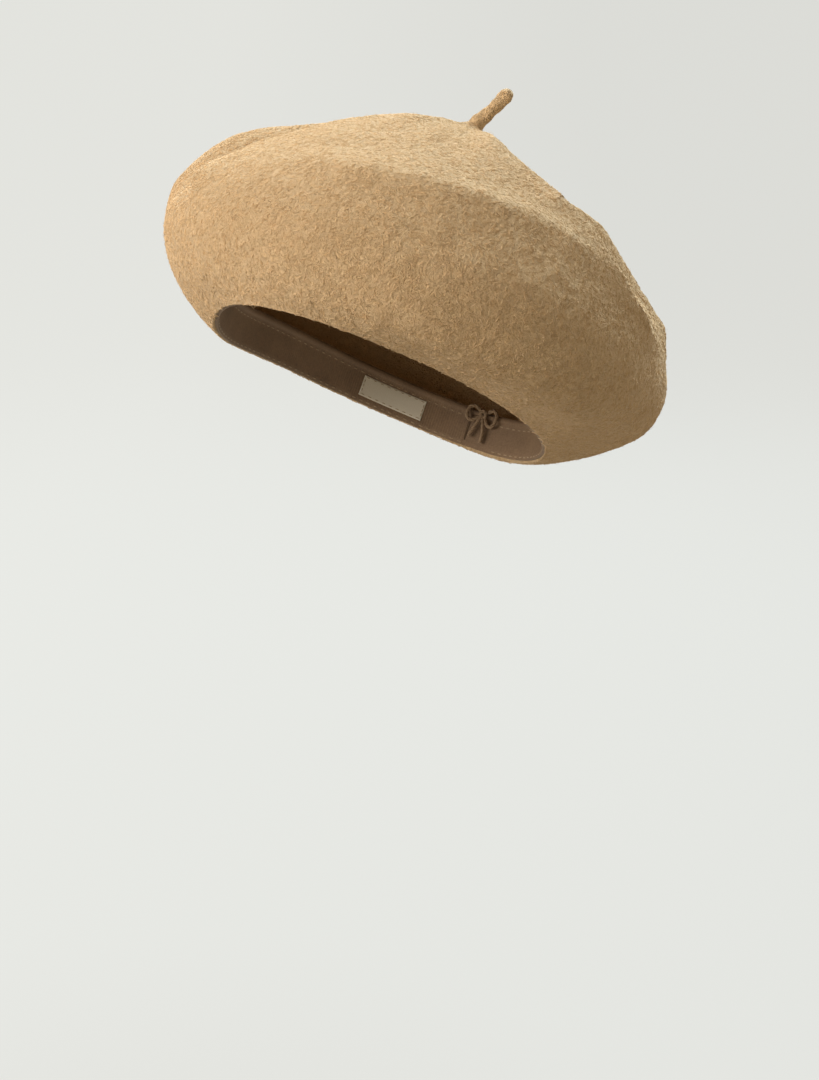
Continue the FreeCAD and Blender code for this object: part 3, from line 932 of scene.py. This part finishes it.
def makeBow():
    stand, middle = -0.0044, tunnelHeight
    parts = []
    for side, droop in ((1, 1.0), (-1, 1.12)):
        # across, out and up from the tunnel's middle
        loop = [(0.0, -0.0012, 0.0), (0.0030, -0.0040, 0.0018), (0.0066, stand, 0.0036),
                (0.0100, stand - 0.0004, 0.0020), (0.0108, stand - 0.0006, -0.0022),
                (0.0088, stand - 0.0005, -0.0056), (0.0052, stand, -0.0054),
                (0.0022, -0.0042, -0.0022), (0.0, -0.0016, -0.0002)]
        line = smoothRoute([gapPoint(side * x, out, middle + h * droop) for x, out, h in loop])
        parts.append(twistedCord("bow_loop", line, cord["radius"]))
        tail = [(0.0, -0.0030, -0.0006), (0.0012, -0.0050, -0.0034), (0.0028, stand, -0.0072),
                (0.0040, stand + 0.0005, -0.0112), (0.0046 + 0.0008 * side, stand + 0.0006, -0.0152)]
        line = smoothRoute([gapPoint(side * x, out, middle + h * droop) for x, out, h in tail])
        parts.append(twistedCord("bow_tail", line, cord["radius"]))
    wrap = []
    for i in range(11):
        a = math.radians(-150 + i * 52)
        out = -0.0034 - 0.0016 * math.sin(a * 0.5) + 0.0003 * i - 0.0015
        wrap.append(gapPoint(0.0022 * math.cos(a), out, middle - 0.0004 + 0.0024 * math.sin(a)))
    parts.append(twistedCord("bow_wrap", smoothRoute(wrap), cord["radius"]))
    bpy.ops.object.select_all(action='DESELECT')
    for part in parts:
        part.select_set(True)
    bpy.context.view_layer.objects.active = parts[0]
    bpy.ops.object.join()
    parts[0].name = "cord_bow"
    parts[0].select_set(False)
    return parts[0]


def makeTunnelCord():
    half = gapHalf(cord["knotRadius"])
    bearings = np.linspace(band["gapBearing"] + half, band["gapBearing"] + 360 - half, 400)
    line = sectionPoint(bearings, np.full(400, -band["ply"]), np.full(400, tunnelHeight))
    return twistedCord("cord_in_band", line, cord["radius"], step=0.0012, sides=6)


cordMaterial = makeCordMaterial()
dress(makeTunnelCord(), cordMaterial, "hat", "cotton_cord", "drawcord")
dress(makeBow(), cordMaterial, "hat", "cotton_cord", "drawcord_bow")
print("cord and bow")


# blank woven label
label = {
    "bearing": 127,
    "length": 0.042,
    "foot": 0.005,
    "height": 0.012,
    "thickness": 0.0005,
    "margin": 0.001,
    "long": 9,                  # stitches on its long and short sides
    "short": 3,
    "threadRadius": 0.00022,
    "pillow": 0.00016,          # how far its middle swells
    "cornerLift": 0.00025,
    "sink": 0.0001,
    "colour": (0.72, 0.655, 0.545),
    "weft": (0.56, 0.49, 0.385),
}


def labelPoint(across, height, lift):
    # across and height from the label's middle
    speed = rimSpeed(label["bearing"])
    bearing = label["bearing"] + across / speed
    rim = bandLengthAt(bearing)
    up = label["foot"] + label["height"] / 2 + height
    out = -2 * band["ply"] + bandWave(rim, up) - lift
    return sectionPoint(bearing, out, np.full(np.shape(bearing), 1.0) * up)


def bandLengthAt(bearing):
    start = band["gapBearing"] + gapHalf(band["gap"])
    steps = np.linspace(start, start + 360, 1441)
    return np.interp(bearing, steps, lengthsAlong(rimPoint(steps)))


def makeLabel():
    wide, high = 84, 24
    x, y = np.meshgrid(np.linspace(-0.5, 0.5, wide), np.linspace(-0.5, 0.5, high))
    edge = np.maximum(np.abs(x) / 0.5, np.abs(y) / 0.5)
    corner = (np.abs(x) / 0.5) ** 6 * (np.abs(y) / 0.5) ** 6
    pillow = label["pillow"] * (1 - edge ** 4) + label["cornerLift"] * corner
    across, up = (x * label["length"]).ravel(), (y * label["height"]).ravel()
    top = labelPoint(across, up, (label["thickness"] - label["sink"] + pillow).ravel())
    low = labelPoint(across, up, np.full(x.size, -label["sink"]))
    points = np.concatenate([top, low])
    faceTop = gridQuads(high, wide)
    faceLow = faceTop[:, ::-1] + wide * high
    # round the border once, to close the label's edge
    order = np.arange(wide * high).reshape(high, wide)
    border = np.concatenate([order[0], order[1:, -1], order[-1, -2::-1], order[-2:0:-1, 0]])
    nextOne = np.roll(border, -1)
    wall = np.stack([border, border + wide * high, nextOne + wide * high, nextOne], -1)
    made = meshFromArrays("label_cloth", points, np.concatenate([faceTop, faceLow, wall]))
    turnOutwards(made)
    return made


def makeLabelMaterial():
    made, tree, shader = newMaterial("damaskLabel", 0.5, 0.4, 0.1, 0.4, (1, 0.95, 0.85))
    coords = objectCoords(tree)
    weave = tree.nodes.new("ShaderNodeTexWave")
    weave.inputs["Scale"].default_value = 520
    weave.inputs["Distortion"].default_value = 0.6
    weave.bands_direction = 'Z'
    tree.links.new(coords, weave.inputs["Vector"])
    grain = noiseNode(tree, coords, 1600, 2, 0.6)
    tone = mixOf(tree, (weave.outputs["Fac"], 0.6), (grain, 0.5))
    paint(tree, shader, tone, (0.2, label["weft"]), (0.75, label["colour"]))
    emboss(tree, shader, tone, 0.4, 0.00012)
    return made


def labelThreads():
    frames = []
    long = label["length"] / label["long"] * 0.6
    short = label["height"] / label["short"] * 0.6
    lift = label["thickness"] + 0.00005
    right, top = label["length"] / 2 - label["margin"], label["height"] / 2 - label["margin"]
    inwards = -rimOutward(np.float64(label["bearing"]))
    for x in np.linspace(-right + long / 2, right - long / 2, label["long"]):
        for y in (-top, top):
            here, ahead = labelPoint(np.float64(x), y, lift), labelPoint(np.float64(x + 0.001), y, lift)
            stretch = np.diag([long / thread["length"], 1, 1, 1])
            frames.append(frameAt(here, ahead - here, inwards) @ stretch)
    for y in np.linspace(-top + short, top - short, label["short"]):
        for x in (-right, right):
            stretch = np.diag([short / thread["length"], 1, 1, 1])
            frames.append(frameAt(labelPoint(np.float64(x), y, lift), rimNormal, inwards) @ stretch)
    return frames


dress(makeLabel(), makeLabelMaterial(), "hat", "label_weave", "woven_label")
labelRow = copiesOf(stitchTemplate(thread["length"], label["threadRadius"]), labelThreads(), "label_threads")
dress(labelRow, threadMaterial, "hat", "thread", "label_stitches")
print("label")


# felt tail at the crown
stem = {
    "root": (0.0207, 0.0581, 0.1277),
    "lean": 49,
    "leanBearing": 30,
    "bend": 6,                  # degrees that it straightens towards its tip
    "length": 0.0246,           # above the drawn-up crown
    "rootRise": 0.0078,         # it leaves the felt upright and leans over by this length
    "step": 0.0005,
    "radius": (0.0046, 0.0034, 0.0039),         # root, middle, near the tip
    "knots": 5,                 # soft segments of the rolled felt
    "knotSwell": 0.035,
    "twistSwell": 0.03,
    "relief": [(0.00022, 520, 4), (0.00028, 240, 9)],
    "sides": 64,
}


def stemPath():
    side = level(np.float64(stem["leanBearing"]))
    here = np.array(stem["root"])
    path, step = [here], stem["step"]
    count = int((stem["length"] + stem["rootRise"]) / step)
    for i in range(count):
        done = (i + 1) / count
        turn = min(1.0, (i * step) / stem["rootRise"]) ** 1.5
        lean = math.radians(stem["lean"] * turn - stem["bend"] * max(0.0, done - 0.35))
        here = here + (side * math.sin(lean) + upward * math.cos(lean)) * step
        path.append(here)
    return np.array(path)


def makeStem():
    line, at = evenly(stemPath(), 0.0004)
    way = unit(np.gradient(line, axis=0))
    across = unit(np.cross(way, [0.2, -0.9, 0.3]))
    rise = np.cross(way, across)
    share = at / at[-1]
    root, middle, tip = stem["radius"]
    radius = np.interp(share, [0, 0.22, 0.5, 0.88, 1], [root * 1.25, root * 0.92, middle, tip, tip * 0.9])
    cap = np.clip((at - (at[-1] - tip)) / tip, 0, 1)        # the tip is rounded over its own radius
    radius = radius * np.sqrt(np.clip(1 - cap ** 2.4, 0.0004, 1))
    count, sides = len(line), stem["sides"]
    angles = np.arange(sides) * 2 * math.pi / sides
    rings = []
    for i in range(count):
        knots = np.sin(share[i] * stem["knots"] * 2 * math.pi + np.sin(angles) * 0.9)
        twist = np.sin((angles + share[i] * 9) * 2)
        wobble = 1 + stem["knotSwell"] * knots + stem["twistSwell"] * twist
        out = across[i] * np.cos(angles)[:, None] + rise[i] * np.sin(angles)[:, None]
        rings.append(line[i] + out * (radius[i] * wobble)[:, None])
    rings = np.array(rings)
    rings = rings + unit(rings - line[:, None]) * unevenness(rings, stem["relief"])[..., None]
    quads = gridQuads(count, sides, closeColumns=True)
    points = np.concatenate([rings.reshape(-1, 3), [line[0]], [line[-1] + way[-1] * 0.0001]])
    low, high = count * sides, count * sides + 1
    tris = [(j, low, (j + 1) % sides) for j in range(sides)]
    last = (count - 1) * sides
    tris += [(last + j, last + (j + 1) % sides, high) for j in range(sides)]
    made = meshFromArrays("felt_stem", points, quads, np.array(tris))
    turnOutwards(made)
    return made


def blendStem(piece):
    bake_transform(piece)


feltStem = makeStem()
dress(feltStem, feltMaterial, None, "wool_felt", "stem")
blendStem(feltStem)
print("stem")


# stitches inside the crown that hold the stem's root
anchor = {
    "turns": (0, 62, 118, 183, 238, 301),
    "reach": 0.0016,
    "below": 0.0002,            # under the felt's inner face
    "overlap": 0.00006,         # every second one lies a little lower
}


def anchorFrames():
    base = np.array(felt["crown"]) - upward * (felt["thickness"] + anchor["below"])
    frames = []
    for i, turn in enumerate(anchor["turns"]):
        way = level(np.float64(turn))
        place = base + way * anchor["reach"] - upward * (anchor["overlap"] * (i % 2))
        frames.append(frameAt(place, way, -upward))
    return frames


anchors = copiesOf(stitchTemplate(thread["length"], thread["radius"]), anchorFrames(), "stem_root_threads")
dress(anchors, threadMaterial, "hat", "thread", "stem_stitches")
print("stem's stitches")


# floor, light and camera
setting = {
    "azimuth": 30,            # the camera stands before the wearer's left
    "pitch": 13.6,
    "distance": 0.845,
    "aimRight": 0.01294,      # the lens looks at a point beside and below the opening's centre
    "aimUp": -0.08186,
    "lens": 53.333,
    "floorDrop": 0.34,
    "floorRadius": 2.4,
    "wallCurve": 2.0,
    "wallTop": 8.0,
    # the floor itself is nearly black; its pale look is painted light, a glow of its own, painted a little
    # darker to the right
    "floorColour": (0.03, 0.03, 0.029),
    "paintedGlow": (0.745, 0.75, 0.715),
    "paintedFallOff": 0.93,
    "world": (0.86, 0.78, 0.61),
    "worldStrength": 0.53,
}

# shares to the right, up and towards the camera, then distance, size, power and colour
lights = {
    "keyLight": ((-0.92, 0.36, 0.58), 2.2, 1.7, 58, (1.0, 0.965, 0.92)),
    "topLight": ((0.45, 1.0, -0.48), 2.0, 1.3, 80, (0.76, 0.92, 1.0)),
    "bounceLight": ((0.9, -1.0, -0.25), 1.6, 1.4, 9, (1.0, 0.96, 0.90)),
}


def makeCamera():
    a, e = math.radians(setting["azimuth"]), math.radians(setting["pitch"])
    back = Vector((math.sin(a) * math.cos(e), -math.cos(a) * math.cos(e), math.sin(e)))
    right = Vector((math.cos(a), math.sin(a), 0))
    up = back.cross(right)
    data = bpy.data.cameras.new("camera")
    data.lens = setting["lens"]
    made = bpy.data.objects.new("camera", data)
    bpy.context.collection.objects.link(made)
    aim = right * setting["aimRight"] + up * setting["aimUp"]
    made.location = aim + back * setting["distance"]
    made.rotation_mode = 'QUATERNION'
    made.rotation_quaternion = Matrix((right, up, back)).transposed().to_quaternion()
    bpy.context.scene.camera = made
    return back, right, up


def makeFloor():
    # a round floor that curves up into a wall, so that no horizon shows
    radius, curve = setting["floorRadius"], setting["wallCurve"]
    profile = [(0.0, 0.0), (radius, 0.0)]
    for a in np.linspace(0, math.pi / 2, 13)[1:]:
        profile.append((radius + curve * math.sin(a), curve - curve * math.cos(a)))
    profile.append((radius + curve, setting["wallTop"]))
    mesh = bpy.data.meshes.new("floor")
    mesh.from_pydata([(r, 0, z - setting["floorDrop"]) for r, z in profile],
                     [(i, i + 1) for i in range(len(profile) - 1)], [])
    floor = bpy.data.objects.new("floor", mesh)
    bpy.context.collection.objects.link(floor)
    editOnly(floor)
    bpy.ops.mesh.select_all(action='SELECT')
    bpy.ops.mesh.spin(steps=72, angle=2 * math.pi, center=(0, 0, 0), axis=(0, 0, 1))
    bpy.ops.mesh.select_all(action='SELECT')
    bpy.ops.mesh.remove_doubles(threshold=0.0005)
    bpy.ops.mesh.normals_make_consistent(inside=True)
    bpy.ops.object.mode_set(mode='OBJECT')
    bpy.ops.object.shade_smooth()
    floor.select_set(False)
    # the floor's brightness is painted light: it glows by its own emission, with painted shade towards the
    # right
    made, tree, shader = newMaterial("glowingFloor", 0.9, 0.1)
    shader.inputs["Base Color"].default_value = (*setting["floorColour"], 1)
    across = tree.nodes.new("ShaderNodeVectorMath")     # painted shade: the backdrop's painted glow falls off a little to the right
    across.operation = 'DOT_PRODUCT'
    azimuth = math.radians(setting["azimuth"])
    across.inputs[1].default_value = (math.cos(azimuth), math.sin(azimuth), 0)
    tree.links.new(objectCoords(tree), across.inputs[0])
    place = mathNode(tree, "ADD", across.outputs["Value"], 0.5)
    paintedShade = tuple(c * setting["paintedFallOff"] for c in setting["paintedGlow"])
    paintedGlow = rampNode(tree, place, [(0.0, setting["paintedGlow"]), (1.0, paintedShade)])
    tree.links.new(paintedGlow, shader.inputs["Emission Color"])
    shader.inputs["Emission Strength"].default_value = 1.0
    floor.data.materials.append(made)
    floor.visible_diffuse = False       # the backdrop's painted glow doesn't light the hat


def addArea(name, towards, distance, size, power, colour):
    data = bpy.data.lights.new(name, 'AREA')
    data.shape = 'DISK'
    data.size = size
    data.energy = power
    data.color = colour
    made = bpy.data.objects.new(name, data)
    bpy.context.collection.objects.link(made)
    way = Vector(towards).normalized()
    made.location = way * distance
    made.rotation_mode = 'QUATERNION'
    made.rotation_quaternion = way.to_track_quat('Z', 'Y')


def makeLights(back, right, up):
    for name, (shares, distance, size, power, colour) in lights.items():
        towards = right * shares[0] + up * shares[1] + back * shares[2]
        addArea(name, towards, distance, size, power, colour)
    world = bpy.data.worlds.new("studio")
    bpy.context.scene.world = world
    world.use_nodes = True
    shade = world.node_tree.nodes["Background"]
    shade.inputs["Color"].default_value = (*setting["world"], 1)
    shade.inputs["Strength"].default_value = setting["worldStrength"]


makeFloor()
makeLights(*makeCamera())
bpy.context.scene.view_settings.view_transform = 'Standard'
print("camera, floor and lights")
